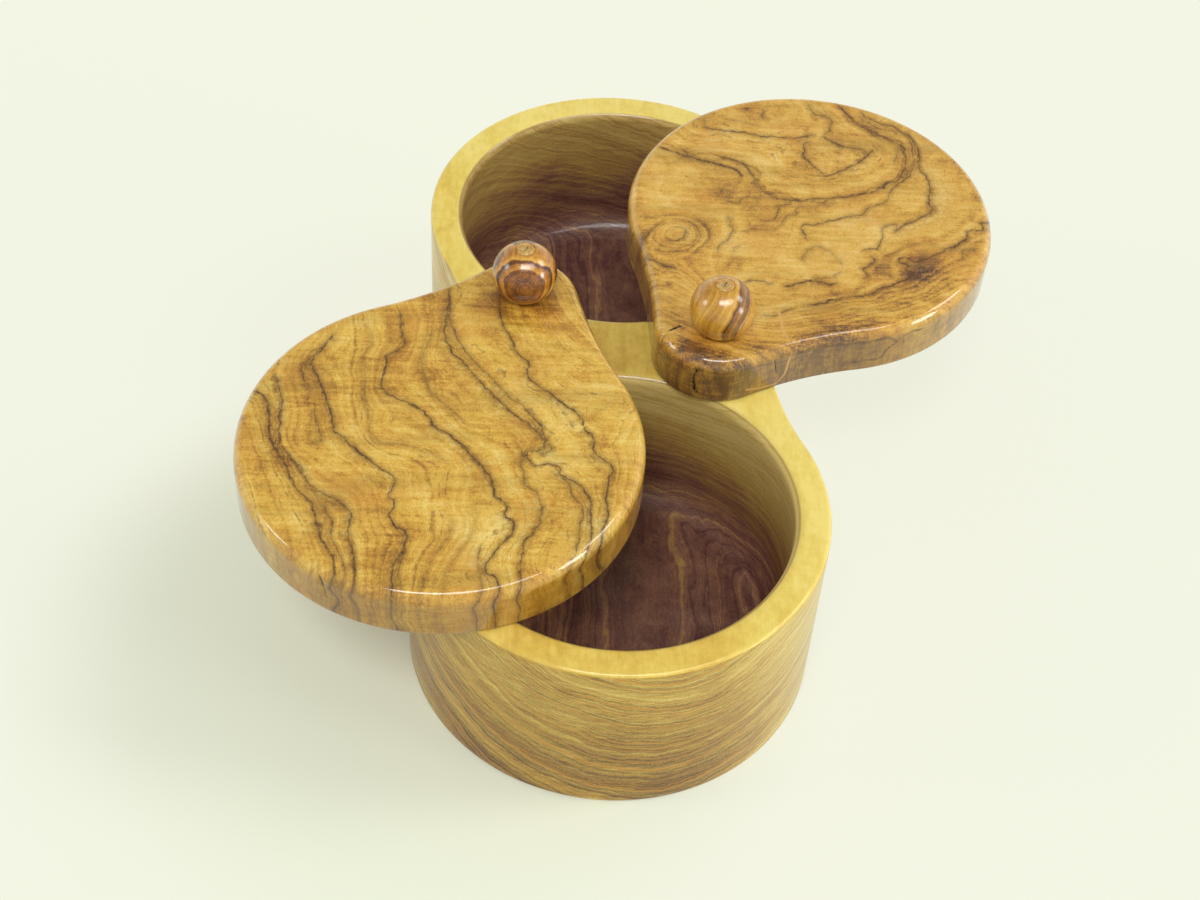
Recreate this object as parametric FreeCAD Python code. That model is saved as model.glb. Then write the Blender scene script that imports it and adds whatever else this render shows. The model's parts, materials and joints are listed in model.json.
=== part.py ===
import FreeCAD, Part
import math
import os

# Double salt cellar: a figure-of-eight wooden block with two turned bowls and two pear-shaped lids.
# Each lid swivels on a dowel that is glued into the block and carries a turned ball.
# Millimetres, +Z up. The origin is the centre of the block's base, and the bowls lie along X.

# Block
bowl_spacing = 93.0          # between the two bowl axes
block_end_radius = 44.5      # outside radius around each bowl
waist_width = 68.0           # narrowest width, between the bowls
block_height = 44.0
block_top_round = 1.0
block_foot_chamfer = 0.7

# Bowls
bore_radius = 37.0
floor_thickness = 8.0
bowl_corner_round = 7.0
lip_round = 2.2

# Pivots: one beside each bowl, on opposite sides of the waist
pivot_shift = 4.5            # from the middle of the waist towards the pivot's own bowl
pivot_reach = 21.5           # from the block's centre line
pin_radius = 2.0
pin_depth = 18.0             # glued length in the block
pin_proud = 0.2              # the end that shows above the ball
pin_end_round = 0.3

# Lids
lid_thickness = 11.5
lid_radius = 42.5            # the round end that covers the bowl
left_neck_radius = 12.2      # the small end around the pin
right_neck_radius = 14.0     # cut broader, and its middle lies off the pin
right_neck_ahead = 2.0       # from the pin towards the round end
right_neck_aside = 1.5       # from the pin towards the side that faces away
inner_side_radius = 85.0     # hollow side that faces the other lid when both are shut
outer_side_radius = 116.0    # hollow side that faces away
lid_top_round = 3.6
lid_foot_chamfer = 0.4
left_lid_open = 187.2        # degrees turned from shut, as photographed
right_lid_open = 178.0

# Knobs
knob_radius = 7.1
knob_seat_radius = 4.6       # flat under the ball

# Fits
glue_gap = 0.02              # pin in the block and in the ball
running_gap = 0.05           # pin in the lid
seat_gap = 0.3               # lid over the rim, ball over the lid
cut_past = 1.0               # how far a cutting shape runs out of the wood

Vec = FreeCAD.Vector
UP = Vec(0, 0, 1)


def arc_through(start, middle, end):
    return Part.Arc(start, middle, end).toShape()


def point_at(centre, radius, degrees):
    """A point of a circle about centre, in the plane Z = 0."""
    angle = math.radians(degrees)
    return Vec(centre.x + radius * math.cos(angle), centre.y + radius * math.sin(angle), 0)


def direction_of(start, end):
    """The direction from one point to another, in degrees from +X."""
    return math.degrees(math.atan2(end.y - start.y, end.x - start.x))


def hollow_centre(centre_a, radius_a, centre_b, radius_b, hollow_radius, side):
    """Centre of the arc that touches two circles from outside, to the left (side 1) or right (side -1) of a to b."""
    apart = centre_b.sub(centre_a)
    distance = apart.Length
    reach_a = radius_a + hollow_radius
    reach_b = radius_b + hollow_radius
    along = (distance ** 2 + reach_a ** 2 - reach_b ** 2) / (2 * distance)
    across = math.sqrt(reach_a ** 2 - along ** 2)
    forward = Vec(apart).normalize()
    left = UP.cross(forward)
    return centre_a + forward * along + left * (side * across)


def edges_at_height(shape, height):
    """The edges that lie flat at one height."""
    flat = [edge for edge in shape.Edges if edge.BoundBox.ZLength < 1e-6]
    return [edge for edge in flat if abs(edge.BoundBox.ZMin - height) < 1e-6]


def revolved(edges, centre):
    """A solid turned about the vertical line through centre, from a closed outline in the XZ plane."""
    face = Part.Face(Part.Wire(edges))
    solid = face.revolve(Vec(0, 0, 0), UP, 360)
    solid.translate(centre)
    return solid


def block_outline():
    """Two round ends joined at the waist by a hollow arc on each side."""
    half = bowl_spacing / 2
    half_waist = waist_width / 2
    # The hollow arc touches both ends and passes the waist at half its width.
    hollow = (half ** 2 + half_waist ** 2 - block_end_radius ** 2) / (2 * (block_end_radius - half_waist))
    right = Vec(half, 0, 0)
    back_centre = Vec(0, half_waist + hollow, 0)
    touch = direction_of(right, back_centre)
    right_back = point_at(right, block_end_radius, touch)
    right_front = Vec(right_back.x, -right_back.y, 0)
    left_back = Vec(-right_back.x, right_back.y, 0)
    left_front = Vec(-right_back.x, -right_back.y, 0)
    return Part.Wire([
        arc_through(right_front, Vec(half + block_end_radius, 0, 0), right_back),
        arc_through(right_back, Vec(0, half_waist, 0), left_back),
        arc_through(left_back, Vec(-half - block_end_radius, 0, 0), left_front),
        arc_through(left_front, Vec(0, -half_waist, 0), right_front),
    ])


def bowl_cutter(centre):
    """The turned hollow of a bowl: flat floor, rounded corner, straight wall and a rounded lip."""
    floor = floor_thickness
    wall_foot = floor + bowl_corner_round
    wall_top = block_height - lip_round
    clear = block_height + cut_past
    mouth = bore_radius + lip_round
    bend = math.sqrt(0.5)
    corner_x = bore_radius - bowl_corner_round
    corner_middle = Vec(corner_x + bowl_corner_round * bend, 0, wall_foot - bowl_corner_round * bend)
    lip_middle = Vec(mouth - lip_round * bend, 0, wall_top + lip_round * bend)
    outline = [
        Part.makeLine(Vec(0, 0, floor), Vec(corner_x, 0, floor)),
        arc_through(Vec(corner_x, 0, floor), corner_middle, Vec(bore_radius, 0, wall_foot)),
        Part.makeLine(Vec(bore_radius, 0, wall_foot), Vec(bore_radius, 0, wall_top)),
        arc_through(Vec(bore_radius, 0, wall_top), lip_middle, Vec(mouth, 0, block_height)),
        Part.makeLine(Vec(mouth, 0, block_height), Vec(mouth, 0, clear)),
        Part.makeLine(Vec(mouth, 0, clear), Vec(0, 0, clear)),
        Part.makeLine(Vec(0, 0, clear), Vec(0, 0, floor)),
    ]
    return revolved(outline, centre)


def make_block(pivots, bowls):
    solid = Part.Face(block_outline()).extrude(Vec(0, 0, block_height))
    solid = solid.makeFillet(block_top_round, edges_at_height(solid, block_height))
    solid = solid.makeChamfer(block_foot_chamfer, edges_at_height(solid, 0))
    for bowl in bowls:
        solid = solid.cut(bowl_cutter(bowl))
    for pivot in pivots:
        foot = pivot + UP * (block_height - pin_depth)
        solid = solid.cut(Part.makeCylinder(pin_radius + glue_gap, pin_depth + cut_past, foot))
    return solid


def lid_outline(neck, neck_radius, end):
    """A pear: a small arc about the neck's middle, a large one about the end's middle, and two hollow sides."""
    inner = hollow_centre(neck, neck_radius, end, lid_radius, inner_side_radius, -1)
    outer = hollow_centre(neck, neck_radius, end, lid_radius, outer_side_radius, 1)
    neck_inner = point_at(neck, neck_radius, direction_of(neck, inner))
    neck_outer = point_at(neck, neck_radius, direction_of(neck, outer))
    end_inner = point_at(end, lid_radius, direction_of(end, inner))
    end_outer = point_at(end, lid_radius, direction_of(end, outer))
    inner_middle = inner - (inner - (neck_inner + end_inner) * 0.5).normalize() * inner_side_radius
    outer_middle = outer - (outer - (neck_outer + end_outer) * 0.5).normalize() * outer_side_radius
    return Part.Wire([
        arc_through(neck_inner, inner_middle, end_inner),
        arc_through(end_inner, point_at(end, lid_radius, direction_of(neck, end)), end_outer),
        arc_through(end_outer, outer_middle, neck_outer),
        arc_through(neck_outer, point_at(neck, neck_radius, direction_of(end, neck)), neck_inner),
    ])


def make_lid(pivot, bowl, opened, neck_radius, neck_ahead, neck_aside):
    """A lid as photographed: turned about its pin from where its round end covers the bowl."""
    heading = direction_of(pivot, bowl) + opened
    end = point_at(pivot, (bowl - pivot).Length, heading)
    ahead = (end - pivot).normalize()
    neck = pivot + ahead * neck_ahead + UP.cross(ahead) * neck_aside
    solid = Part.Face(lid_outline(neck, neck_radius, end)).extrude(Vec(0, 0, lid_thickness))
    solid = solid.makeFillet(lid_top_round, edges_at_height(solid, lid_thickness))
    solid = solid.makeChamfer(lid_foot_chamfer, edges_at_height(solid, 0))
    foot = pivot - UP * cut_past
    solid = solid.cut(Part.makeCylinder(pin_radius + running_gap, lid_thickness + 2 * cut_past, foot))
    solid.translate(UP * lid_foot_height())
    return solid


def lid_foot_height():
    return block_height + seat_gap


def knob_foot_height():
    return lid_foot_height() + lid_thickness + seat_gap


def knob_middle_height():
    """Height of the ball's middle: the ball is flattened underneath to its seat."""
    return knob_foot_height() + math.sqrt(knob_radius ** 2 - knob_seat_radius ** 2)


def knob_hole_radius():
    return pin_radius + glue_gap


def knob_crown_height():
    """Height of the rim of the hole on top of the ball."""
    return knob_middle_height() + math.sqrt(knob_radius ** 2 - knob_hole_radius() ** 2)


def make_knob(pivot):
    """A ball turned with a flat seat and drilled through for the pin."""
    hole = knob_hole_radius()
    foot = knob_foot_height()
    middle = knob_middle_height()
    crown = knob_crown_height()
    outline = [
        Part.makeLine(Vec(hole, 0, foot), Vec(knob_seat_radius, 0, foot)),
        arc_through(Vec(knob_seat_radius, 0, foot), Vec(knob_radius, 0, middle), Vec(hole, 0, crown)),
        Part.makeLine(Vec(hole, 0, crown), Vec(hole, 0, foot)),
    ]
    return revolved(outline, pivot)


def make_pin(pivot):
    """The dowel, from the bottom of its hole in the block to just above the ball."""
    foot = block_height - pin_depth
    top = knob_crown_height() + pin_proud
    solid = Part.makeCylinder(pin_radius, top - foot, pivot + UP * foot)
    return solid.makeFillet(pin_end_round, edges_at_height(solid, top))


def build():
    """Every piece by name."""
    left_bowl = Vec(-bowl_spacing / 2, 0, 0)
    right_bowl = Vec(bowl_spacing / 2, 0, 0)
    left_pivot = Vec(-pivot_shift, -pivot_reach, 0)
    right_pivot = Vec(pivot_shift, pivot_reach, 0)
    return {
        "block": make_block([left_pivot, right_pivot], [left_bowl, right_bowl]),
        "left_lid": make_lid(left_pivot, left_bowl, left_lid_open, left_neck_radius, 0, 0),
        "right_lid": make_lid(right_pivot, right_bowl, right_lid_open, right_neck_radius,
                              right_neck_ahead, right_neck_aside),
        "left_knob": make_knob(left_pivot),
        "right_knob": make_knob(right_pivot),
        "left_pin": make_pin(left_pivot),
        "right_pin": make_pin(right_pivot),
    }


os.makedirs("parts", exist_ok=True)
for name, solid in build().items():
    solid.exportStep(os.path.join("parts", name + ".step"))
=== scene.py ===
import json
import math

import bmesh
import bpy
import numpy as np
from mathutils import Matrix, Vector
from mathutils.kdtree import KDTree


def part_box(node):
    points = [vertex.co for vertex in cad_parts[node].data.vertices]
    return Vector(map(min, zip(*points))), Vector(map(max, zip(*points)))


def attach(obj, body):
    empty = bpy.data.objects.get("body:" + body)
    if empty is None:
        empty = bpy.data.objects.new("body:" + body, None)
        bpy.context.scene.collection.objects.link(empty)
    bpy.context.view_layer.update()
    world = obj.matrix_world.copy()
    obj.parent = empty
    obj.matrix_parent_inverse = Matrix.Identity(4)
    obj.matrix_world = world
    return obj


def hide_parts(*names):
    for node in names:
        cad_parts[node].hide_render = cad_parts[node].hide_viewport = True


# The looks of a double salt cellar in lacquered olive wood. Metres, +Z up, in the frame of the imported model.

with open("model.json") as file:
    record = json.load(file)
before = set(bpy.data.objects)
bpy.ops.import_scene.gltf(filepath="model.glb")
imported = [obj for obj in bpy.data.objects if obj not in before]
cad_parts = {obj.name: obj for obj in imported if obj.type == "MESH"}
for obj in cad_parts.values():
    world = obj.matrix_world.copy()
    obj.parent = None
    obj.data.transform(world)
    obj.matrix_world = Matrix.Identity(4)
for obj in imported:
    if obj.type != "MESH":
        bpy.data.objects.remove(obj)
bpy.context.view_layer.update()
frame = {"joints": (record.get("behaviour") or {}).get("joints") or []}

MM = 0.001

# Sizes that the model was built to

BOWL_SPACING = 93.0 * MM
BLOCK_END_RADIUS = 44.5 * MM
WAIST_WIDTH = 68.0 * MM
BLOCK_TOP_ROUND = 1.0 * MM
BLOCK_FOOT_ROUND = 0.7 * MM
BORE_RADIUS = 37.0 * MM
FLOOR_THICKNESS = 8.0 * MM
BOWL_CORNER = 7.0 * MM
LIP_ROUND = 2.2 * MM
LID_RADIUS = 42.5 * MM
LEFT_NECK_RADIUS = 12.2 * MM
RIGHT_NECK_RADIUS = 14.0 * MM
RIGHT_NECK_AHEAD = 2.0 * MM
RIGHT_NECK_ASIDE = 1.5 * MM
INNER_SIDE_RADIUS = 85.0 * MM
OUTER_SIDE_RADIUS = 116.0 * MM
LID_FOOT_ROUND = 0.4 * MM
LEFT_LID_OPEN = 187.2
RIGHT_LID_OPEN = 178.0
KNOB_RADIUS = 7.1 * MM
KNOB_SEAT_RADIUS = 4.6 * MM
PIN_RADIUS = 2.0 * MM
GLUE_GAP = 0.02 * MM
RUNNING_GAP = 0.05 * MM

# The lids' upper edge, from the flat top to the side: a crisp shoulder, a slack slope and a soft turn. Each arc is
# (radius, start, end, points), with angles in degrees up from the outward direction.

LID_EDGE = [(1.8 * MM, 90, 42, 12), (4.2 * MM, 42, 12, 9), (1.5 * MM, 12, 0, 3)]

# The photograph's camera

CAMERA_AZIMUTH = 86.89
CAMERA_ELEVATION = 47.35
CAMERA_ROLL = 4.22
CAMERA_DISTANCE = 0.42611
CAMERA_TARGET = Vector((0.03692, -0.00445, 0.05))
CAMERA_LENS = 60.96
SENSOR_WIDTH = 36.0


def joint_place(name):
    """The pivot of a joint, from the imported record."""
    return Vector(next(j["pos_m"] for j in frame["joints"] if j["name"] == name))


LEFT_BOWL = Vector((-BOWL_SPACING / 2, 0, 0))
RIGHT_BOWL = Vector((BOWL_SPACING / 2, 0, 0))
LEFT_PIVOT = joint_place("left_lid_swivel")
RIGHT_PIVOT = joint_place("right_lid_swivel")
BLOCK_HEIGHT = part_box("block")[1].z


# Number helpers

def srgb(red, green, blue):
    """A colour as seen on a screen, 0 to 255, as the linear value that a shader takes."""
    values = [c / 255 for c in (red, green, blue)]
    return tuple(c / 12.92 if c <= 0.04045 else ((c + 0.055) / 1.055) ** 2.4 for c in values) + (1.0,)


def smoothstep(value, low, high):
    t = np.clip((value - low) / (high - low), 0, 1)
    return t * t * (3 - 2 * t)


def value_noise(points, cell, seed):
    """Smooth noise from -1 to 1 at two-dimensional points, with features one cell wide."""
    rng = np.random.default_rng(seed)
    table = rng.uniform(-1, 1, (256, 256))
    at = points / cell + 100.0
    low = np.floor(at).astype(int)
    part = at - low
    part = part * part * (3 - 2 * part)
    x0, y0 = low[:, 0] % 256, low[:, 1] % 256
    x1, y1 = (x0 + 1) % 256, (y0 + 1) % 256
    near = table[x0, y0] * (1 - part[:, 0]) + table[x1, y0] * part[:, 0]
    far = table[x0, y1] * (1 - part[:, 0]) + table[x1, y1] * part[:, 0]
    return near * (1 - part[:, 1]) + far * part[:, 1]


def smooth_line(points, step):
    """Points along a smooth curve through given points, about one step apart."""
    points = np.array(points, float)
    ends = np.vstack([2 * points[0] - points[1], points, 2 * points[-1] - points[-2]])
    out = []
    for i in range(len(points) - 1):
        p0, p1, p2, p3 = ends[i:i + 4]
        count = max(1, round(np.linalg.norm(p2 - p1) / step))
        t = (np.arange(count) / count)[:, None]
        out.append(0.5 * (2 * p1 + (p2 - p0) * t + (2 * p0 - 5 * p1 + 4 * p2 - p3) * t ** 2
                          + (3 * p1 - p0 - 3 * p2 + p3) * t ** 3))
    return np.vstack(out + [points[-1:]])


# Mesh helpers

def new_object(name, vertices, faces):
    mesh = bpy.data.meshes.new(name)
    mesh.from_pydata([tuple(v) for v in vertices], [], faces)
    mesh.update()
    obj = bpy.data.objects.new(name, mesh)
    bpy.context.scene.collection.objects.link(obj)
    return obj


def shade_smooth(obj):
    obj.data.polygons.foreach_set("use_smooth", [True] * len(obj.data.polygons))
    obj.data.update()


def clean_mesh(obj, merge):
    """Merges doubled vertices, drops empty faces and turns all faces outward."""
    bm = bmesh.new()
    bm.from_mesh(obj.data)
    bmesh.ops.remove_doubles(bm, verts=bm.verts, dist=merge)
    bmesh.ops.dissolve_degenerate(bm, edges=bm.edges, dist=1e-7)
    bmesh.ops.recalc_face_normals(bm, faces=bm.faces)
    bm.to_mesh(obj.data)
    bm.free()
    shade_smooth(obj)


def vertex_array(obj):
    co = np.empty(len(obj.data.vertices) * 3)
    obj.data.vertices.foreach_get("co", co)
    return co.reshape(-1, 3)


def write_field(obj, name, values):
    """Stores one number per vertex, which the materials read by name."""
    field = obj.data.attributes.new(name, "FLOAT", "POINT")
    field.data.foreach_set("value", np.asarray(values, np.float32))


def drill(obj, centre, radius, low, high):
    """Cuts a round vertical hole."""
    sides = 48
    angle = np.linspace(0, 2 * math.pi, sides, endpoint=False)
    ring = [(centre.x + radius * math.cos(a), centre.y + radius * math.sin(a)) for a in angle]
    vertices = [(x, y, low) for x, y in ring] + [(x, y, high) for x, y in ring]
    faces = [(i, (i + 1) % sides, sides + (i + 1) % sides, sides + i) for i in range(sides)]
    faces += [tuple(reversed(range(sides))), tuple(range(sides, 2 * sides))]
    cutter = new_object("cutter", vertices, faces)
    cut = obj.modifiers.new("hole", "BOOLEAN")
    cut.operation = "DIFFERENCE"
    cut.solver = "EXACT"
    cut.object = cutter
    bpy.context.view_layer.update()
    evaluated = obj.evaluated_get(bpy.context.evaluated_depsgraph_get())
    mesh = bpy.data.meshes.new_from_object(evaluated)
    old = obj.data
    obj.modifiers.clear()
    obj.data = mesh
    bpy.data.meshes.remove(old)
    bpy.data.objects.remove(cutter)
    shade_smooth(obj)


def arc_profile(centre, radius, start, end, count):
    """Points of an arc as (distance, height), with angles in degrees up from the outward direction."""
    angle = np.radians(np.linspace(start, end, count))
    return [(centre[0] + radius * math.cos(a), centre[1] + radius * math.sin(a)) for a in angle]


def grid_faces(rows, columns, closed, offset=0):
    """Quads between neighbouring points of a grid, whose rows may close on themselves."""
    faces = []
    for i in range(rows if closed else rows - 1):
        j = (i + 1) % rows
        for k in range(columns - 1):
            faces.append((offset + i * columns + k, offset + j * columns + k,
                          offset + j * columns + k + 1, offset + i * columns + k + 1))
    return faces


def line_distance(own, line):
    """How far each vertex is from a smooth line through given points, in millimetres."""
    curve = smooth_line(line, 0.1)
    tree = KDTree(len(curve))
    for i, p in enumerate(curve):
        tree.insert(p, i)
    tree.balance()
    return np.array([tree.find(p)[2] for p in own])


def split_open(obj, own, splits):
    """Presses narrow cracks into the surface. Each is (half width, depth, places) in millimetres."""
    normals = np.empty(len(obj.data.vertices) * 3)
    obj.data.vertices.foreach_get("normal", normals)
    normals = normals.reshape(-1, 3)
    co = vertex_array(obj)
    nearest = np.full(len(co), 9.0)
    for half_width, depth, line in splits:
        distance = line_distance(own, line)
        share = np.clip(1 - distance / half_width, 0, 1)
        co -= normals * (share * depth * MM)[:, None]
        nearest = np.minimum(nearest, distance / half_width)
    obj.data.vertices.foreach_set("co", co.astype(np.float32).ravel())
    obj.data.update()
    write_field(obj, "crack", np.minimum(nearest, 9.0))


# Block

def block_wall(count):
    """Outline points and outward directions of the right half, from the front of the waist to its back."""
    half = BOWL_SPACING / 2
    half_waist = WAIST_WIDTH / 2
    hollow = (half ** 2 + half_waist ** 2 - BLOCK_END_RADIUS ** 2) / (2 * (BLOCK_END_RADIUS - half_waist))
    start = math.atan2(half_waist + hollow, -half)
    end_count = int(count * 0.78)
    out = [((RIGHT_BOWL.x + BLOCK_END_RADIUS * math.cos(a), BLOCK_END_RADIUS * math.sin(a)),
            (math.cos(a), math.sin(a))) for a in np.linspace(-start, start, end_count)]
    sweep = math.atan2(half, half_waist + hollow)
    back = [((hollow * math.sin(a), half_waist + hollow - hollow * math.cos(a)), (-math.sin(a), math.cos(a)))
            for a in np.linspace(0, sweep, count - end_count, endpoint=False)]
    front = [((x, -y), (nx, -ny)) for (x, y), (nx, ny) in back]
    return front + out + back[::-1]


def make_block():
    """Both halves of the block, each a fan of profiles round its bowl's axis."""
    height = BLOCK_HEIGHT
    wall = block_wall(420)
    centre = np.array([RIGHT_BOWL.x, 0.0])
    waist = WAIST_WIDTH / 2 - BLOCK_TOP_ROUND
    middle_line = [((0.0, y), None) for y in np.linspace(waist, -waist, 66)[1:-1]]
    bowl = [(0.0, FLOOR_THICKNESS)]
    bowl += [(r, FLOOR_THICKNESS) for r in np.linspace(6, 28, 6) * MM]
    bowl += arc_profile((BORE_RADIUS - BOWL_CORNER, FLOOR_THICKNESS + BOWL_CORNER), BOWL_CORNER, -90, 0, 12)
    bowl += [(BORE_RADIUS, z) for z in np.linspace(FLOOR_THICKNESS + BOWL_CORNER, height - LIP_ROUND, 16)[1:-1]]
    bowl += arc_profile((BORE_RADIUS + LIP_ROUND, height - LIP_ROUND), LIP_ROUND, 180, 90, 10)
    side = arc_profile((-BLOCK_TOP_ROUND, height - BLOCK_TOP_ROUND), BLOCK_TOP_ROUND, 90, 0, 7)
    side += [(0.0, z) for z in np.linspace(height - BLOCK_TOP_ROUND, BLOCK_FOOT_ROUND, 26)[1:-1]]
    side += arc_profile((-BLOCK_FOOT_ROUND, BLOCK_FOOT_ROUND), BLOCK_FOOT_ROUND, 0, -90, 5)
    rows = wall + middle_line
    vertices = []
    for (x, y), normal in rows:
        edge = np.array([x, y]) - (np.array(normal) * BLOCK_TOP_ROUND if normal else 0)
        ray = (edge - centre) / np.linalg.norm(edge - centre)
        vertices += [(*(centre + ray * r), z) for r, z in bowl]
        mouth = centre + ray * (BORE_RADIUS + LIP_ROUND)
        vertices += [(*(mouth * (1 - t) + edge * t), height) for t in np.linspace(0, 1, 7)[1:]]
    faces = grid_faces(len(rows), len(bowl) + 6, True)
    offset = len(vertices)
    for (x, y), normal in wall:
        vertices += [(x + normal[0] * out, y + normal[1] * out, z) for out, z in side]
    faces += grid_faces(len(wall), len(side), False, offset)
    offset = len(vertices)
    for (x, y), normal in rows:
        edge = np.array([x, y]) - (np.array(normal) * BLOCK_FOOT_ROUND if normal else 0)
        vertices += [(*(centre * (1 - t) + edge * t), 0.0) for t in np.linspace(0, 1, 8)]
    faces += grid_faces(len(rows), 8, True, offset)
    count = len(vertices)
    vertices += [(-x, y, z) for x, y, z in vertices]
    faces += [tuple(count + i for i in reversed(f)) for f in faces]
    obj = new_object("salt_block", vertices, faces)
    clean_mesh(obj, 5e-6)
    for pivot in (LEFT_PIVOT, RIGHT_PIVOT):
        drill(obj, pivot, PIN_RADIUS + GLUE_GAP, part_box("left_pin")[0].z, height + MM)
    co = vertex_array(obj)
    radius = np.minimum(np.hypot(co[:, 0] - RIGHT_BOWL.x, co[:, 1]), np.hypot(co[:, 0] - LEFT_BOWL.x, co[:, 1]))
    within = smoothstep(-radius, -(BORE_RADIUS + LIP_ROUND * 0.5), -(BORE_RADIUS + LIP_ROUND * 0.2))
    write_field(obj, "inside", within * (co[:, 2] > 0.5 * FLOOR_THICKNESS))
    write_field(obj, "rim", smoothstep(co[:, 2], height - 1.0 * MM, height - 0.5 * MM))
    return obj


# Lids

def hollow_centre(neck, neck_radius, end, hollow, side):
    """Centre of the arc that touches the neck and the round end from outside."""
    apart = end - neck
    distance = np.linalg.norm(apart)
    reach_neck = neck_radius + hollow
    reach_end = LID_RADIUS + hollow
    along = (distance ** 2 + reach_neck ** 2 - reach_end ** 2) / (2 * distance)
    ahead = apart / distance
    left = np.array([-ahead[1], ahead[0]])
    return neck + ahead * along + left * side * math.sqrt(reach_neck ** 2 - along ** 2)


def lid_outline(neck, neck_radius, end, step):
    """Outline points, outward directions and the spine points they look at, in the lid's own axes."""
    inner = hollow_centre(neck, neck_radius, end, INNER_SIDE_RADIUS, -1)
    outer = hollow_centre(neck, neck_radius, end, OUTER_SIDE_RADIUS, 1)
    out = []

    def arc(centre, radius, start, stop, sign):
        count = max(8, int(abs(stop - start) * radius / step))
        for a in np.linspace(start, stop, count, endpoint=False):
            direction = np.array([math.cos(a), math.sin(a)])
            out.append((centre + direction * radius, direction * sign))

    def angle_to(start, stop):
        return math.atan2(stop[1] - start[1], stop[0] - start[0])

    arc(end, LID_RADIUS, angle_to(end, inner), angle_to(end, outer), 1)
    arc(outer, OUTER_SIDE_RADIUS, angle_to(outer, end), angle_to(outer, neck), -1)
    arc(neck, neck_radius, angle_to(neck, outer), angle_to(neck, inner) + 2 * math.pi, 1)
    arc(inner, INNER_SIDE_RADIUS, angle_to(inner, neck), angle_to(inner, end), -1)
    points = np.array([p for p, _ in out])
    normals = np.array([n for _, n in out])
    length = np.linalg.norm(end - neck)
    ahead = (end - neck) / length
    along = np.clip((points - neck) @ ahead, 0, length)
    return points, normals, neck + ahead * along[:, None]


def lid_edge():
    """The upper edge as points from the outline and the top: how far out, and how high."""
    points = [np.zeros(2)]
    for radius, start, stop, count in LID_EDGE:
        angle = np.radians(np.linspace(start, stop, count))
        turn = np.column_stack([np.cos(angle), np.sin(angle)]) * radius
        points.extend(points[-1] + turn[1:] - turn[0])
    points = np.array(points)
    points[:, 0] -= points[-1, 0]
    return points


def make_lid(name, pivot, bowl, opened, neck_radius, neck_place, node):
    """The lid's mesh as photographed, and each vertex's place in the lid's own axes, in millimetres."""
    low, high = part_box(node)[0].z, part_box(node)[1].z
    reach = bowl.xy - pivot.xy
    heading = math.atan2(reach.y, reach.x) + math.radians(opened)
    end = np.array([reach.length, 0.0])
    points, normals, spine = lid_outline(np.array(neck_place), neck_radius, end, 0.42 * MM)
    edge = lid_edge()
    rings = []
    for t in np.linspace(0, 1, 98)[:-1]:
        rings.append((spine * (1 - t) + (points + normals * edge[0, 0]) * t, high))
    for out, drop in edge:
        rings.append((points + normals * out, high + drop))
    for z in np.linspace(high + edge[-1, 1], low + LID_FOOT_ROUND, 14)[1:-1]:
        rings.append((points, z))
    for out, z in arc_profile((-LID_FOOT_ROUND, low + LID_FOOT_ROUND), LID_FOOT_ROUND, 0, -90, 4):
        rings.append((points + normals * out, z))
    for t in np.linspace(1, 0, 10)[1:]:
        rings.append((spine * (1 - t) + (points - normals * LID_FOOT_ROUND) * t, low))
    vertices = np.vstack([np.column_stack([p, np.full(len(p), z)]) for p, z in rings])
    count = len(points)
    faces = [(r * count + i, r * count + (i + 1) % count, (r + 1) * count + (i + 1) % count, (r + 1) * count + i)
             for r in range(len(rings) - 1) for i in range(count)]
    obj = new_object(name, vertices, faces)
    clean_mesh(obj, 4e-6)
    turn = Matrix.Translation((pivot.x, pivot.y, 0)) @ Matrix.Rotation(heading, 4, "Z")
    obj.data.transform(turn)
    drill(obj, pivot, PIN_RADIUS + RUNNING_GAP, low - MM, high + MM)
    back = np.array(turn.inverted())
    own = vertex_array(obj) @ back[:3, :3].T + back[:3, 3]
    own[:, 2] -= low
    return obj, own / MM


# Wood figure of the lids. A vein is (darkness, half width, places), in millimetres in the lid's own axes:
# along it from the pivot, and to its left.

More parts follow.
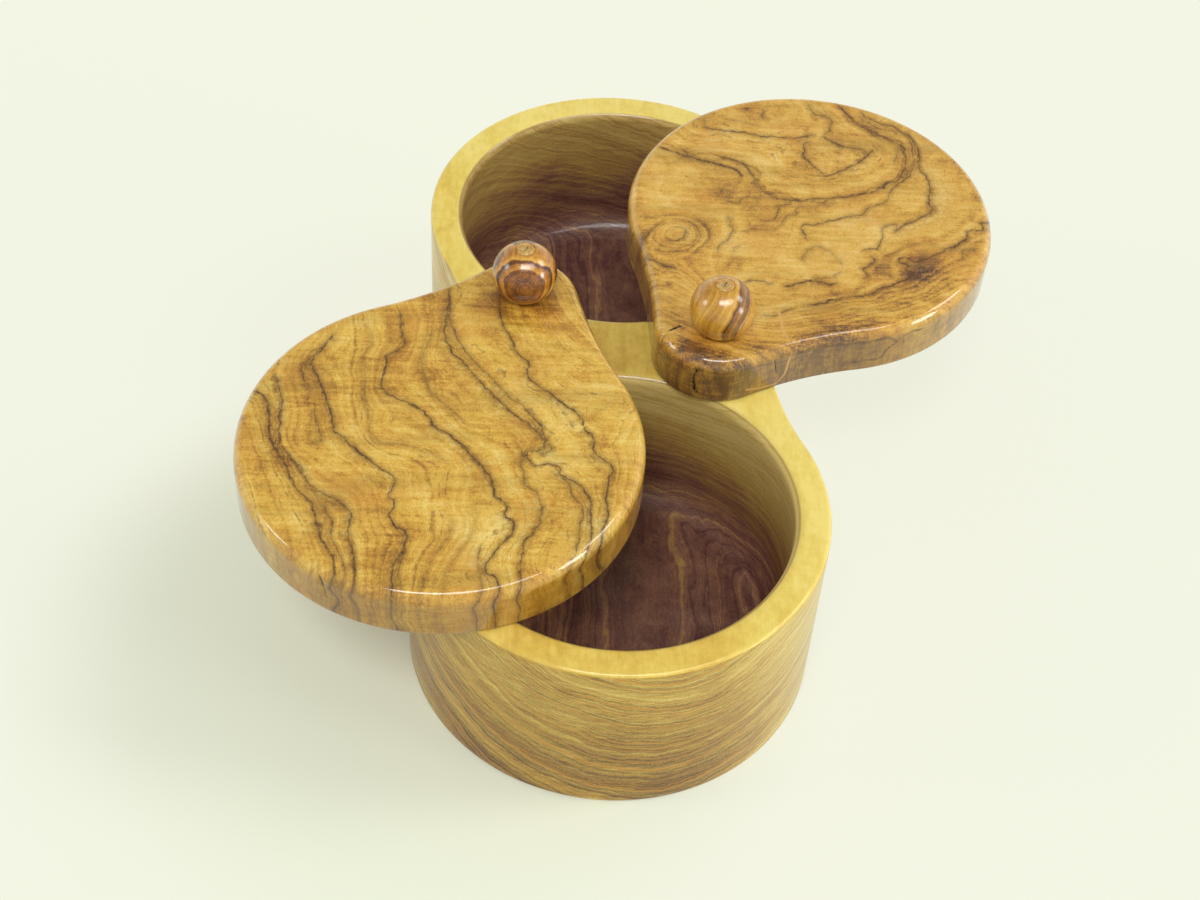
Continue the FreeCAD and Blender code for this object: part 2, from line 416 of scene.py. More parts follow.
LEFT_VEINS = [
    (1.0, 0.50, [(2, -5), (6, -3.5), (11, -1), (15, 3), (18.5, 6), (20, 9), (24.5, 10.5), (26.5, 15), (28.5, 20),
                 (30.5, 24.5), (33.5, 26.5), (36, 29.5), (38.5, 30.5), (41, 33), (42.5, 35.8), (48, 36.8),
                 (52, 38.5), (58, 39.8), (64, 40.8), (76, 42)]),
    (0.7, 0.35, [(8, -13.5), (14, -12), (20, -7), (25.5, -0.5), (27.5, 3.5), (31, 8), (33, 13), (37, 18),
                 (40, 20.5), (41.8, 22.5), (43.4, 21.5), (44.3, 18.8)]),
    (1.0, 0.42, [(4, -16), (10, -13.8), (16, -12.2), (22, -9), (27, -2.5), (29.5, 1), (32, 5.5), (35, 10.5),
                 (37, 15.5), (38.5, 18), (40.5, 20), (42.3, 20.8), (44.4, 18.6), (46.6, 19.6), (47, 21.5),
                 (45.6, 24), (46.2, 25.8), (47.9, 26.8), (48.5, 30), (50, 32.4), (52, 34.6), (56, 36),
                 (60, 38), (66, 38.6), (78, 39.5)]),
    (0.7, 0.34, [(46.8, 23.5), (48, 26), (49.8, 29), (51.8, 30.2), (53, 32), (55, 34), (58, 35), (63, 36.1),
                 (70, 36.6), (80, 38)]),
    (0.8, 0.42, [(43, 16), (46, 18), (48.5, 18.2), (50.5, 19.8), (53.2, 21), (54, 23.5), (56, 25.2), (59, 26.8),
                 (63, 27), (66.5, 26.3), (70, 26.8), (73.5, 27.8), (76, 29.2), (80, 30.5), (88, 32.6)]),
    (0.55, 0.30, [(17, -14.2), (21, -13.6), (26, -13), (31, -10.5), (35, -7.8), (38, -4.5), (40.3, 0.3), (43, 4)]),
    (1.0, 0.58, [(15.5, -23), (19, -21), (22.5, -19.2), (26.5, -17.8), (29.6, -19.6), (33, -18.6), (38, -17.4),
                 (40.3, -14), (41.2, -9), (43, -5), (45.4, -1.5), (47, 3), (48.4, 6), (51, 9.5), (52.3, 11.8),
                 (56, 14.8), (57.8, 16), (59.2, 19.4), (62.2, 20.3), (62.9, 22.1), (66, 22.9), (70, 22.1),
                 (74.5, 21.6), (77, 22.2), (78, 24.8), (82, 26), (86, 25), (92, 26.5)]),
    (0.6, 0.40, [(70, 18.8), (73, 19), (76, 20.3), (80, 22.4), (85, 23.4), (92, 26)]),
    (0.4, 0.3, [(60.3, 19.5), (60.3, 16), (61.3, 13.5), (65, 14.8), (70, 16), (78, 15), (88, 17), (92, 19)]),
    (0.45, 0.35, [(21.5, -29.5), (25.5, -25.5), (28, -24.2), (33, -23.8), (37, -21.5), (42, -19.4), (46, -17.2),
                  (48.5, -15.2), (52.2, -13.4), (53.3, -10), (52, -6), (52.6, 0), (53, 4)]),
    (0.35, 0.4, [(66, 9), (68, 11.3), (72, 11.8), (77, 11), (82, 11.6), (90, 13)]),
    (1.0, 0.52, [(27, -32.6), (31, -32.8), (35, -33.9), (38.5, -33.2), (42.4, -29.4), (46, -26.6), (50.3, -23.2),
                 (53.7, -20.8), (56, -16.5), (58.2, -12.4), (60.3, -8), (61.8, -4), (66.2, -3.2), (67.8, -1.2),
                 (70.5, -1), (73, 1.2), (74, 3.8), (77.5, 5.1), (82, 5), (86, 6.4), (92, 8)]),
    (0.55, 0.30, [(76, 5.2), (82, 6.2), (87, 8.3), (93, 11)]),
    (0.65, 0.32, [(33, -35.2), (38, -34.8), (42, -33.4), (46.5, -29.8), (51, -26.6), (55, -23.9), (57.4, -22),
                  (58.6, -22.9), (59.8, -25)]),
    (0.6, 0.40, [(61.8, -10.5), (63.6, -8.2), (64.4, -5), (66, -4.2)]),
    (0.85, 0.38, [(44, -39.4), (47, -37), (51, -34.6), (56, -32.2), (60.8, -29.8), (64.3, -25.6), (68, -21),
                  (70.3, -17), (71.4, -12.5), (73.2, -8.6), (77, -7.2), (80, -5.2), (84, -2.6), (92, 1)]),
    (0.7, 0.30, [(61.5, -29), (65.2, -25.2), (69, -20.3), (71.8, -16.8), (74, -13.4), (77.5, -10.6), (81, -8.8),
                 (83.2, -6.2), (86, -3.6), (92, -2)]),
    (1.0, 0.62, [(49.8, -42), (50.8, -38.5), (54, -35.6), (58, -33.5), (61.6, -31.2), (64.5, -28), (68.5, -24),
                 (71.3, -21), (73.6, -17), (76.5, -14.2), (80.5, -11.8), (83.2, -9), (85.5, -6), (92, -4.2)]),
    (0.6, 0.32, [(74.5, -17), (77.5, -13.2), (81.4, -10.8), (84.2, -8), (86, -5)]),
    (0.45, 0.28, [(21.5, 32), (23, 30), (25.5, 29), (28.5, 27.3), (32, 26.6), (33.8, 26.4)]),
    (0.4, 0.26, [(25, 34.6), (26, 33), (27.8, 31.9), (27.6, 30.4)]),
    (0.4, 0.26, [(31, 31.4), (30.8, 29), (32.2, 27.6), (32.6, 26.6)]),
]

RIGHT_VEINS = [
    (0.9, 0.75, [(48, 41.5), (48.2, 36), (48.6, 31), (49.3, 26.5), (49.8, 22), (49.2, 19.2), (46.6, 18.4)]),
    (0.8, 0.45, [(51, 27), (52.6, 24.5), (53, 22), (52.2, 19.6), (50.4, 16.8), (48.8, 14.2), (46.6, 12.4),
                 (46, 9.5), (46.5, 6.5), (48, 3.6), (49.6, 1), (51.2, -1), (53.5, -3.4), (56, -6), (58.6, -8.6),
                 (61, -10.8), (63.5, -11.4), (65.5, -12.2), (67.2, -13.5), (71, -13.2), (75, -12.2), (79, -10),
                 (80.4, -7), (80.3, -3.5), (81.4, 0), (82, 3), (83, 6), (84.2, 9), (85.5, 11.5)]),
    (1.0, 1.0, [(60.4, -10.4), (62.5, -11.2), (65.2, -12), (67, -13.2)]),
    (0.7, 0.35, [(67, -13.8), (71, -14.2), (76, -13.6), (79.5, -12.3), (82.4, -10.4), (84.4, -7.4), (85.4, -4),
                 (85, -0.5), (85.2, 3), (86.4, 6)]),
    (0.6, 0.35, [(71, -10.4), (75.5, -9.6), (79, -8.4), (79.8, -5.6), (79.6, -3), (80.8, 1), (81.4, 5), (83.5, 9.5)]),
    (0.55, 0.3, [(82.6, -8.4), (83.4, -5), (83, -1.5), (83.6, 2.4), (84.6, 6)]),
    (0.55, 0.35, [(30, 10.6), (32.4, 9), (34, 6.6), (35.4, 4.2), (38, 3), (41, 3.2), (43, 1.9), (45, 2.6),
                  (46.6, 1), (48, -1), (50, -2.9), (53, -5.2)]),
    (0.7, 0.45, [(36, -4.6), (38, -2.6), (40, -1.4), (42, -2.9), (44.4, -5), (47, -7.2), (49.4, -9.4), (51, -11),
                 (54, -11.8), (56, -12.6), (58, -13.9), (60.5, -14), (63, -13.4), (66, -13.9), (70, -15.1),
                 (74, -14.5), (78, -13.6)]),
    (1.0, 0.34, [(39, -15.6), (41.4, -17.4), (42.4, -19), (44.4, -18.7), (46.6, -18.8), (48.2, -17.8),
                 (50, -17.4), (51.6, -18.3), (52.2, -19.6), (51, -20.4), (48.6, -20.3)]),
    (1.0, 0.42, [(48.6, -20.6), (51.2, -20.9), (54, -21.5), (57, -23), (60, -24.4), (62, -24.8), (63.2, -23.4),
                 (65, -22.2), (68, -21.4), (70.4, -19.8), (72.6, -18.4), (73.4, -16.6), (75.4, -15.2),
                 (78, -14.5), (81, -12.8), (83.6, -10.4), (85.2, -7)]),
    (0.6, 0.55, [(8, -4.5), (9, -7.6), (11.4, -9.8), (13.6, -10.6), (15.4, -12.4)]),
    (1.0, 0.50, [(15.4, -12.4), (18, -14.6), (20.6, -17.2), (23.2, -19.6), (25.4, -22), (27.6, -24), (30.4, -25.5),
                 (33.8, -27.3), (36, -28.7), (38.4, -29.4), (39.3, -28.6), (39, -27.4), (40.6, -27.3), (40.8, -25.6),
                 (41.8, -24.5), (42.8, -25.8), (43, -28), (44.4, -29.4), (47, -31.2), (50.4, -32.6), (53.4, -34.3),
                 (57, -35.2), (59.2, -34.8), (61, -36.8), (62.6, -37.2), (63.6, -36), (64.8, -37.4), (70, -37)]),
    (0.6, 0.35, [(21.6, -16.8), (23.6, -18.4), (25.6, -20.6), (28, -23)]),
    (0.8, 0.35, [(34, -27.2), (35.2, -25.6), (35.4, -23.6), (34.4, -22.2), (33, -22.6)]),
    (0.9, 0.34, [(31.6, -19.2), (32.2, -21.2), (33.4, -20.6), (34.6, -19.3), (36.4, -20.4), (38.6, -20.3),
                 (39.4, -18.8), (41, -18.7)]),
    (0.6, 0.26, [(39, -21.2), (41.5, -22), (44, -23.2), (46, -23.5)]),
    (0.6, 0.26, [(42.6, -25.6), (44, -25.9), (46, -25.8)]),
    (0.5, 0.26, [(43, -27.8), (45.6, -27.6)]),
    (0.7, 0.50, [(13, 4.2), (15.4, 2.4), (17.4, 1), (18.2, -1), (18.6, -3.4), (20.4, -4.6)]),
    (1.0, 0.60, [(18.8, -5.6), (20.2, -7.2), (22.2, -8.6), (24.2, -10.2), (25, -12.6), (25.8, -14.8), (27.6, -16.6)]),
    (0.5, 0.40, [(24.6, -9), (26.2, -12), (27.8, -14.2), (30, -15), (31.8, -16.4)]),
    (0.45, 0.4, [(28, -8), (30, -5.8), (33.4, -6), (35.8, -7), (35.6, -10), (34.4, -13), (32, -16)]),
    (0.8, 0.40, [(20.4, 24.2), (19.2, 22.6), (20, 20.8), (22.4, 20.2), (24.4, 21), (24.6, 22.8), (23, 24), (21, 23.6)]),
    (0.5, 0.35, [(18, 26), (17, 23), (17.6, 20), (20.4, 17.8), (24, 17.6), (26.6, 19.8), (27, 23), (24.6, 26),
                 (21, 27.2), (18, 26)]),
    (0.8, 0.45, [(13.6, 26), (11.6, 23.6), (11, 20.4), (11.8, 17.6), (12.8, 16.6)]),
    (0.8, 0.40, [(13.4, 26.8), (16.4, 27.8), (20, 27.6), (23.4, 26.9), (25.4, 25.8)]),
    (0.5, 0.40, [(20.6, 15.6), (24, 14.8), (27.4, 16.4), (29, 19.4), (28.8, 23)]),
    (0.6, 0.40, [(20.4, 10.2), (23, 11.8), (26, 11.5), (29.4, 11.7), (31.6, 12.8), (33.2, 14.6), (36, 15.6)]),
    (0.4, 0.35, [(14, 8), (19, 7.6), (24, 8.4), (28, 8)]),
    (0.8, 0.5, [(5.4, 17.2), (7.6, 15.2)]),
    (0.65, 0.45, [(38.2, 20.2), (41, 20.5), (44, 20.3)]),
    (0.65, 0.45, [(39, 20), (38.7, 17.2), (39.4, 14.9), (41.6, 14.7), (43, 13), (43.6, 11.6), (46, 11.8)]),
    (0.7, 0.40, [(37.6, 9.6), (37.3, 7), (38.6, 5.4), (41, 5.3), (43.5, 6.4), (45.6, 4.8), (47.4, 4.4)]),
    (1.0, 0.50, [(59.8, 1.6), (60.4, 4), (61.6, 6.6), (63.2, 9.2), (65.6, 10), (67.2, 11.2), (68.2, 10.8), (69.4, 9.4)]),
    (1.0, 0.50, [(58.4, 3.6), (59.8, 1.6), (62, 0), (65, -1.4), (68.4, -2.6), (72, -3.4), (75.6, -3.8)]),
    (0.8, 0.50, [(72.6, 9.6), (72.3, 6.4), (71.8, 3.6), (72.6, 0.8), (73.3, -1.2), (73, -3.4)]),
    (0.9, 0.50, [(59.6, 35.6), (60.8, 32.6), (62, 29.4), (63.4, 25.6), (64.2, 22), (65.8, 19), (67, 16.4),
                 (68.2, 14.2), (69.8, 12.6), (72.6, 10)]),
    (0.55, 0.35, [(62, 38), (62.2, 35.6), (60.8, 34.4), (58.8, 34.6)]),
    (0.7, 0.35, [(73, 9.4), (75.6, 8.3), (78, 9.2), (80, 10), (79.6, 13), (80, 15.6), (83.6, 18)]),
    (0.45, 0.5, [(66, 34), (66.4, 30), (67.6, 26), (68.2, 22.4)]),
    (1.0, 0.85, [(70.8, 30), (72.2, 29.2), (73.6, 28.2)]),
    (0.55, 0.35, [(70, 22.8), (72, 24.4), (74.6, 25.6), (75.6, 27.4)]),
    (0.5, 0.35, [(73.6, 23.6), (75.4, 22)]),
    (0.6, 0.35, [(78.6, -18.6), (80, -20), (81.2, -22)]),
    (0.6, 0.30, [(48, -36), (50, -37.6), (52.4, -36.4), (54, -38), (52, -40)]),
]

# A patch is (tone, radius, place): paler above 0, browner below.

# The two darkest patches near the pivot, about the ball's foot, are partly stain and partly painted shade under the
# ball.
LEFT_PATCHES = [
    (0.30, 7, (66, 17)), (0.25, 5, (49, -18)), (0.22, 8, (25, 26)), (-0.20, 9, (30, -16)), (-0.22, 12, (22, -12)),
    (-0.18, 12, (74, -30)), (-0.15, 10, (40, -28)), (0.15, 9, (60, -2)), (-0.25, 3, (57, 0)), (0.12, 10, (42, 26)),
    (-0.15, 7, (52, 22)), (-0.75, 5, (5, 4)), (-0.65, 4, (6, -5)), (0.15, 6, (12, 3)), (-0.10, 10, (85, 0)),
    (0.10, 8, (75, 25)),
]
# The darkest patches near the neck, about the ball's foot, are partly stain and partly painted shade under the ball.
RIGHT_PATCHES = [
    (0.25, 6, (32, 35)), (-0.45, 7, (42, -32)), (-0.25, 5, (42, 17)), (0.15, 9, (44, -13)), (0.12, 9, (55, -27)),
    (0.05, 10, (68, -25)), (0.15, 7, (72, 15)), (-0.20, 7, (8, -16)), (-0.35, 9, (12, -24)), (0.12, 8, (15, -9)),
    (-0.35, 3, (48, 33)), (0.10, 10, (57, 18)), (-0.25, 9, (-8, -10)), (0.12, 6, (22, 22)), (-0.15, 5, (33, -9)),
    (-0.05, 7, (82, -5)), (-0.05, 8, (66, -12)), (-0.7, 5, (-9, -3)), (-0.6, 4, (-8.5, 4)), (-0.3, 5, (-3, -12)),
    (-0.35, 4, (36, -31)), (-0.3, 4, (30, -32)), (-0.3, 4, (44, -30)),
]

# Splits, as (half width, depth, places). Here and in the lines below, each place also has its height above the foot.

LEFT_SPLITS = [(0.45, 0.8, [(88.3, -8.3, 9.7), (88.9, -7.7, 8.6), (89.3, -7.2, 6.6), (89.3, -6.8, 4.8)])]
RIGHT_SPLITS = [
    (0.40, 0.7, [(-9.4, 9.6, 8.0), (-8.9, 9.5, 9.7), (-7.6, 9.3, 11), (-5.6, 8.4, 11.5), (-4.0, 7.5, 11.5)]),
    (0.32, 0.6, [(-10.6, 0.0, 10.6), (-11.7, -0.7, 8.6), (-12, -0.1, 6.4), (-11.9, -0.3, 5.3)]),
    (0.50, 0.9, [(-11.9, -0.1, 4.6), (-12, -0.6, 3.4), (-12, -0.4, 2.6), (-11.9, -1.2, 1.7)]),
    (0.30, 0.4, [(0.9, -13, 10.6), (0.1, -13.8, 8.7), (0.3, -14.2, 6.3), (0.7, -14.4, 4)]),
]

# Lines on the right lid's side: the pale edge of a ring, and dark wavy lines as (darkness, half width, places).

PALE_LINE = [(11.3, -9.0, 11.5), (9.2, -10.5, 11.5), (6.1, -12.7, 11.5), (4.1, -15.2, 10.8), (2.8, -16.1, 7.5),
             (2.2, -15.8, 3.3), (0.5, -14.6, 1.0), (-2.5, -12.5, 1.2), (-5.6, -10.4, 2.2)]
SIDE_LINES = [
    (0.8, 0.50, [(12.9, -25.4, 2.5), (15.4, -28.2, 2.9), (18.8, -31.4, 2.7), (19.8, -32.3, 4.9), (22, -34.2, 7.3),
                 (24.1, -35.6, 8.5), (27.4, -37.6, 8.3), (28.7, -37.5, 10)]),
    (0.5, 0.60, [(4.8, -17.5, 8.9), (7.7, -19.8, 9.3), (10.4, -22.7, 8.8), (13.6, -26.1, 8.5), (17.4, -30.2, 8.7),
                 (19.9, -32.5, 8.5), (21.2, -33.6, 7.4)]),
    (0.7, 0.22, [(43.1, -41.7, 9.8), (43.5, -42.3, 4.9), (42.6, -42.4, 0.5)]),
    (0.5, 0.40, [(-4, -11.5, 8.5), (-1, -13, 8), (2, -14.6, 8.6), (6, -18, 6.5), (10, -22.5, 5.5)]),
]

LEFT_GRAIN = math.radians(38)
SWIRL = np.array([68.0, 14.0])
EYE = np.array([22.3, 22.3])


def left_grain(at):
    """The plain level of the left lid's grain, which runs aslant."""
    return at @ np.array([-math.sin(LEFT_GRAIN), math.cos(LEFT_GRAIN)])


def right_grain(at):
    """The plain level of the right lid's grain: rings about a far swirl, and an eye near the neck."""
    eye = 14 * np.exp(-(np.linalg.norm(at - EYE, axis=1) / 6.5) ** 2)
    return np.linalg.norm(at - SWIRL, axis=1) + eye


def grain_levels(veins, plain, at):
    """A smooth field over the lid that keeps one level along each vein and strays from the plain one as little
    as that allows."""
    places, owner = [], []
    for i, (_, _, line) in enumerate(veins):
        curve = smooth_line(line, 2.2)
        places.extend(curve)
        owner.extend([i] * len(curve))
    places = np.array(places)
    belongs = np.eye(len(veins))[owner]

    def likeness(a, b):
        d = np.sqrt(((a[:, None, :] - b[None, :, :]) ** 2).sum(-1)) / 7.0
        return (1 + d) * np.exp(-d)

    stiff = likeness(places, places) + np.eye(len(places)) * 0.05
    spread = np.linalg.solve(stiff, belongs)
    levels = np.linalg.solve(belongs.T @ spread, spread.T @ plain(places))
    weights = np.linalg.solve(stiff, belongs @ levels - plain(places))
    out = plain(at)
    for start in range(0, len(at), 4000):
        out[start:start + 4000] += likeness(at[start:start + 4000], places) @ weights
    return out


def paint_figure(obj, own, veins, patches, plain, seed):
    """Stores the figure on the lid's vertices: where its veins are, their shade, the grain's level and the tone."""
    depth = own[:, 2].max() - own[:, 2]
    lean = value_noise(np.stack([own[:, 0] + own[:, 1], depth * 2], 1), 7.0, seed + 8) * np.minimum(depth / 5, 1) * 1.2
    at = own[:, :2] + np.stack([-lean, lean], 1)
    wobble = np.stack([value_noise(at, 1.5, seed), value_noise(at, 1.5, seed + 1)], 1) * 0.28
    wobble += np.stack([value_noise(at, 5.0, seed + 2), value_noise(at, 5.0, seed + 3)], 1) * 0.35
    moved = at + wobble
    samples, facts = [], []
    for darkness, width, line in veins:
        curve = smooth_line(line, 0.12)
        heading = np.gradient(curve, axis=0)
        heading /= np.linalg.norm(heading, axis=1)[:, None] + 1e-9
        share = np.arange(len(curve)) * 0.12
        fade = np.clip(np.minimum(share, share[::-1]) / 3 + 0.2, 0.2, 1)
        samples.append(curve)
        facts.append(np.column_stack([darkness * fade, np.full(len(curve), width), heading]))
    samples, facts = np.vstack(samples), np.vstack(facts)
    tree = KDTree(len(samples))
    for i, (u, v) in enumerate(samples):
        tree.insert((u, v, 0), i)
    tree.balance()
    found = [tree.find((u, v, 0)) for u, v in moved]
    nearest = np.array([f[1] for f in found])
    distance = np.array([f[2] for f in found])
    apart = moved - samples[nearest]
    darkness, width, ahead_u, ahead_v = facts[nearest].T
    side = np.sign(ahead_u * apart[:, 1] - ahead_v * apart[:, 0]) * distance
    darkness = darkness * (1 + 0.35 * value_noise(at, 6.0, seed + 5))
    shade = darkness * np.exp(-distance / np.where(side < 0, 2.0, 0.9)) * (0.8 + 0.6 * value_noise(at, 6.0, seed + 6))
    tone = np.zeros(len(at))
    for amount, radius, place in patches:
        tone += amount * np.exp(-(np.linalg.norm(moved + 3 * wobble - np.array(place), axis=1) / radius) ** 2)
    write_field(obj, "vein_side", np.clip(side, -6, 6))
    write_field(obj, "vein_near", np.minimum(distance, 6))
    write_field(obj, "vein_dark", darkness)
    write_field(obj, "vein_width", width * (1 + 0.35 * value_noise(at, 4.0, seed + 4)))
    write_field(obj, "shade", np.clip(shade, 0, 1))
    write_field(obj, "tone", tone)
    write_field(obj, "level", grain_levels(veins, plain, at))
    write_field(obj, "wall", smoothstep(depth, 0.4, 4.0))


def paint_lines(obj, own, pale, lines, seed):
    """Stores how near each vertex is to the lines on the lid's side."""
    wobble = [value_noise(own[:, [0, 2]] + own[:, [1, 1]], cell, seed + i) for i, cell in enumerate((1.1, 1.3, 1.7))]
    moved = own + np.stack(wobble, 1) * 0.3
    write_field(obj, "pale", np.minimum(line_distance(own, pale), 9.0))
    nearest, dark, width = np.full(len(own), 9.0), np.zeros(len(own)), np.ones(len(own))
    for darkness, half_width, line in lines:
        distance = line_distance(moved, line)
        closer = distance < nearest
        nearest = np.where(closer, distance, nearest)
        dark = np.where(closer, darkness, dark)
        width = np.where(closer, half_width, width)
    write_field(obj, "line_near", nearest / width)
    write_field(obj, "line_dark", dark)


# Knobs and pins

def revolve(name, profile, centre, sides):
    """A surface turned about a vertical axis, from (radius, height) points."""
    vertices = []
    for a in np.linspace(0, 2 * math.pi, sides, endpoint=False):
        vertices += [(centre.x + r * math.cos(a), centre.y + r * math.sin(a), z) for r, z in profile]
    obj = new_object(name, vertices, grid_faces(sides, len(profile), True))
    clean_mesh(obj, 1e-6)
    return obj


def make_knob(name, pivot, node):
    """A turned ball with a flat seat, drilled through. The hole's upper rim is eased, so the dowel's end shows."""
    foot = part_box(node)[0].z
    hole = PIN_RADIUS + GLUE_GAP
    middle = foot + math.sqrt(KNOB_RADIUS ** 2 - KNOB_SEAT_RADIUS ** 2)
    eased = hole + 0.2 * MM
    start = math.degrees(math.asin((foot - middle) / KNOB_RADIUS))
    end = math.degrees(math.acos(eased / KNOB_RADIUS))
    rim = middle + KNOB_RADIUS * math.sin(math.radians(end))
    profile = [(r, foot) for r in np.linspace(hole, KNOB_SEAT_RADIUS, 6)[:-1]]
    profile += arc_profile((0, middle), KNOB_RADIUS, start, end, 64)
    profile += [(hole + 0.05 * MM, rim - 0.05 * MM), (hole, rim - 0.3 * MM), (hole, foot)]
    return revolve(name, profile, pivot, 96)


def make_pin(name, pivot, node, splits):
    """The dowel: a plain rod with an eased, slightly domed upper end that has a fine split."""
    low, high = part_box(node)[0].z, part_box(node)[1].z
    ease = 0.3 * MM
    dome = 0.08 * MM
    profile = [(0, low), (PIN_RADIUS, low)]
    profile += [(PIN_RADIUS, z) for z in np.linspace(low, high - ease, 24)[1:-1]]
    profile += arc_profile((PIN_RADIUS - ease, high - ease - dome), ease, 0, 75, 6)
    profile += [(r, high - dome * (r / PIN_RADIUS) ** 2) for r in np.linspace(1.6, 0, 16) * MM]
    obj = revolve(name, profile, pivot, 72)
    own = (vertex_array(obj) - np.array([pivot.x, pivot.y, 0])) / MM
    split_open(obj, own, [(w, d, [(x, y, high / MM) for x, y in line]) for w, d, line in splits])
    return obj


# Materials

class Nodes:
    """A short way to build a material's node tree."""

    def __init__(self, name):
        self.material = bpy.data.materials.new(name)
        self.material.use_nodes = True
        self.tree = self.material.node_tree
        self.shader = self.tree.nodes["Principled BSDF"]

    def put(self, kind, settings=None, **inputs):
        """Adds a node. An input goes by its name, or as i0, i1 and so on by its place."""
        node = self.tree.nodes.new("ShaderNode" + kind)
        for key, value in (settings or {}).items():
            setattr(node, key, value)
        for key, value in inputs.items():
            self.set(node.inputs[int(key[1:])] if key[1:].isdigit() else node.inputs[key], value)
        return node

    def set(self, socket, value):
        if isinstance(value, bpy.types.NodeSocket):
            self.tree.links.new(value, socket)
        else:
            socket.default_value = value

    def math(self, operation, a, b=0.0):
        return self.put("Math", {"operation": operation}, i0=a, i1=b).outputs[0]

    def plus(self, *values):
        total = values[0]
        for value in values[1:]:
            total = self.math("ADD", total, value)
        return total

    def times(self, a, b):
        return self.math("MULTIPLY", a, b)

    def around(self, value, amount):
        """Noise about one half, as a swing of the given amount about nothing."""
        return self.times(self.math("SUBTRACT", value, 0.5), amount)

    def field(self, name):
        return self.put("Attribute", {"attribute_name": name}).outputs["Fac"]

    def places(self, x, y, z):
        """Object places, with each axis scaled."""
        coordinates = self.put("TexCoord").outputs["Object"]
        return self.put("Mapping", i0=coordinates, i3=(x, y, z)).outputs[0]

    def noise(self, vector, scale, detail=3.0, roughness=0.5, distortion=0.0):
        node = self.put("TexNoise", Scale=scale, Detail=detail, Roughness=roughness, Distortion=distortion)
        self.set(node.inputs["Vector"], vector)
        return node.outputs["Fac"]

    def line_noise(self, value, scale, detail=3.0, roughness=0.6):
        node = self.put("TexNoise", {"noise_dimensions": "1D"}, Scale=scale, Detail=detail, Roughness=roughness)
        self.set(node.inputs["W"], value)
        return node.outputs["Fac"]

    def ramp(self, value, stops):
        node = self.put("ValToRGB", i0=value)
        elements = node.color_ramp.elements
        while len(elements) < len(stops):
            elements.new(0.5)
        for element, (place, colour) in zip(elements, stops):
            element.position = place
            element.color = colour
        return node.outputs[0]

    def step(self, value, low, high, to_low=0.0, to_high=1.0):
        """Rises smoothly from to_low to to_high as the value goes from low to high."""
        node = self.put("MapRange", {"interpolation_type": "SMOOTHSTEP"}, i0=value, i1=low, i2=high, i3=to_low,
                        i4=to_high)
        return node.outputs[0]

    def mix(self, share, a, b):
        node = self.tree.nodes.new("ShaderNodeMix")
        node.data_type = "RGBA"
        self.set(node.inputs[0], share)
        self.set(node.inputs[6], a)
        self.set(node.inputs[7], b)
        return node.outputs[2]


def lacquer(nodes, colour, roughness, height, strength, coat, coat_roughness=0.07):
    """Clear lacquer over a wood colour: a soft sheen below a slightly uneven glossy coat, and a fine relief."""
    shader = nodes.shader
    nodes.set(shader.inputs["Base Color"], colour)
    nodes.set(shader.inputs["Roughness"], roughness)
    shader.inputs["Specular IOR Level"].default_value = 0.25
    nodes.set(shader.inputs["Coat Weight"], coat)
    shader.inputs["Coat Roughness"].default_value = coat_roughness
    shader.inputs["Coat IOR"].default_value = 1.5
    bump = nodes.put("Bump", Strength=strength, Distance=0.0003, Height=height)
    nodes.set(shader.inputs["Normal"], bump.outputs[0])
    waves = nodes.noise(nodes.places(1000, 1000, 1000), 0.22, 3, 0.6)
    uneven = nodes.put("Bump", Strength=0.12, Distance=0.0003, Height=waves)
    nodes.set(shader.inputs["Coat Normal"], uneven.outputs[0])


VEIN_COLOUR = srgb(84, 50, 20)
# Near-black in the splits: painted shade, deep in the narrow gaps.
SPLIT_COLOUR = srgb(14, 8, 6)


